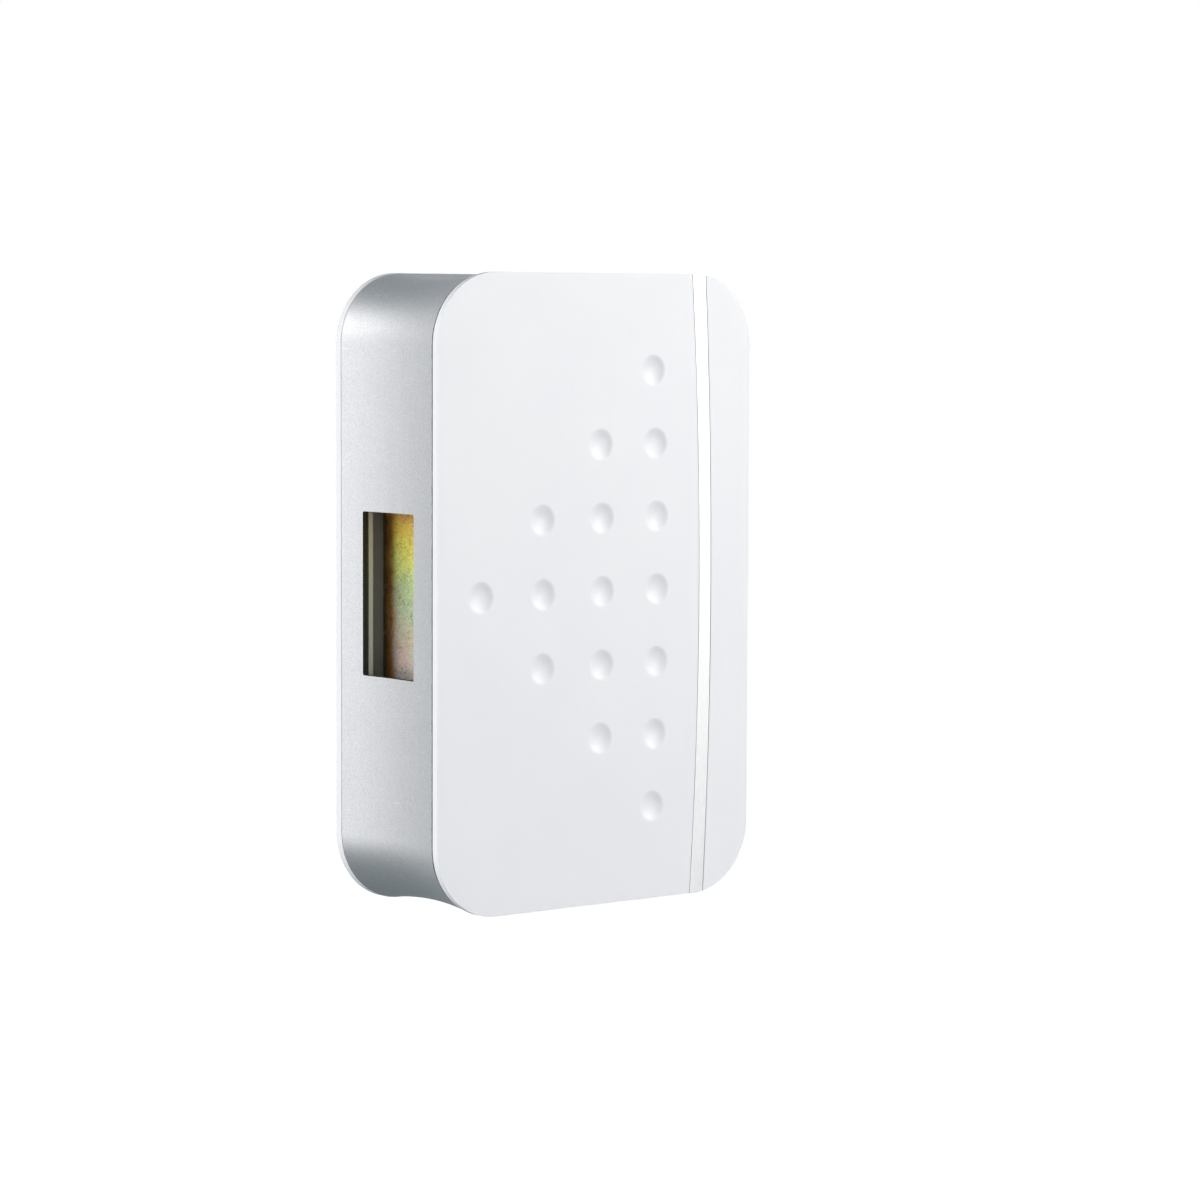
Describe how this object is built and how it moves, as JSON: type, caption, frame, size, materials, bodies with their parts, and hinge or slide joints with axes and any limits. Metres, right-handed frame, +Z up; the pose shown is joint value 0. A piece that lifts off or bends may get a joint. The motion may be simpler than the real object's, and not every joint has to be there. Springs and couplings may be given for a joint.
{
  "type": "two-tone door chime",
  "caption": "Wall-mounted wired two-tone door chime: dimpled front panel, concave silver waist with side windows, sprung solenoid striker between tuned steel plates.",
  "frame": {"origin": "centre of the base plate's rear face, which lies on the wall", "axes": "+X to the right seen from the room, +Y into the wall, +Z up; the front panel faces -Y"},
  "size_m": [0.1194, 0.0512, 0.19],
  "materials": {
    "white_abs": "glossy white moulded plastic",
    "silver_paint": "metallic silver paint over dark moulded plastic",
    "satin_trim": "satin pale silver plastic strip",
    "yellow_zinc": "steel with iridescent yellow chromate",
    "bright_zinc": "bright zinc plated steel",
    "spring_steel": "drawn spring wire",
    "copper_enamel": "enamelled copper wire, wound in layers",
    "black_rubber": "matt black rubber",
    "black_plastic": "matt black moulded plastic",
    "cream_plastic": "cream moulded plastic",
    "natural_nylon": "natural nylon",
    "red_sleeve": "red PVC sleeve",
    "blue_sleeve": "blue PVC sleeve"
  },
  "bodies": {
    "base": {"base_plate": "white_abs", "block_screw": "bright_zinc", "bobbin": "black_plastic", "bush_left_lower": "black_rubber", "bush_left_upper": "black_rubber", "bush_right_lower": "black_rubber", "bush_right_upper": "black_rubber", "bush_screw_left_lower": "bright_zinc", "bush_screw_left_upper": "bright_zinc", "bush_screw_right_lower": "bright_zinc", "bush_screw_right_upper": "bright_zinc", "coil_lead_left": "red_sleeve", "coil_lead_right": "blue_sleeve", "coil_winding": "copper_enamel", "frame_screw_left": "bright_zinc", "frame_screw_right": "bright_zinc", "return_spring": "spring_steel", "solenoid_frame": "bright_zinc", "terminal_block": "cream_plastic", "terminal_screw_left": "bright_zinc", "terminal_screw_right": "bright_zinc", "tone_plate_left": "yellow_zinc", "tone_plate_right": "yellow_zinc"},
    "cover": {"front_panel": "white_abs", "trim_strip": "satin_trim", "waist_ring": "silver_paint"},
    "striker": {"striker_rod": "bright_zinc", "striker_tip_left": "natural_nylon", "striker_tip_right": "natural_nylon", "spring_collar": "bright_zinc"}
  },
  "joints": [
    {"name": "cover_pull", "type": "slide", "parent": "base", "child": "cover", "axis": [0, -1, 0], "range_m": [0, 0.06]},
    {"name": "striker_travel", "type": "slide", "parent": "base", "child": "striker", "axis": [1, 0, 0], "range_m": [-0.003, 0.008], "stiffness_N_per_m": 25, "deforming": ["return_spring"]}
  ]
}
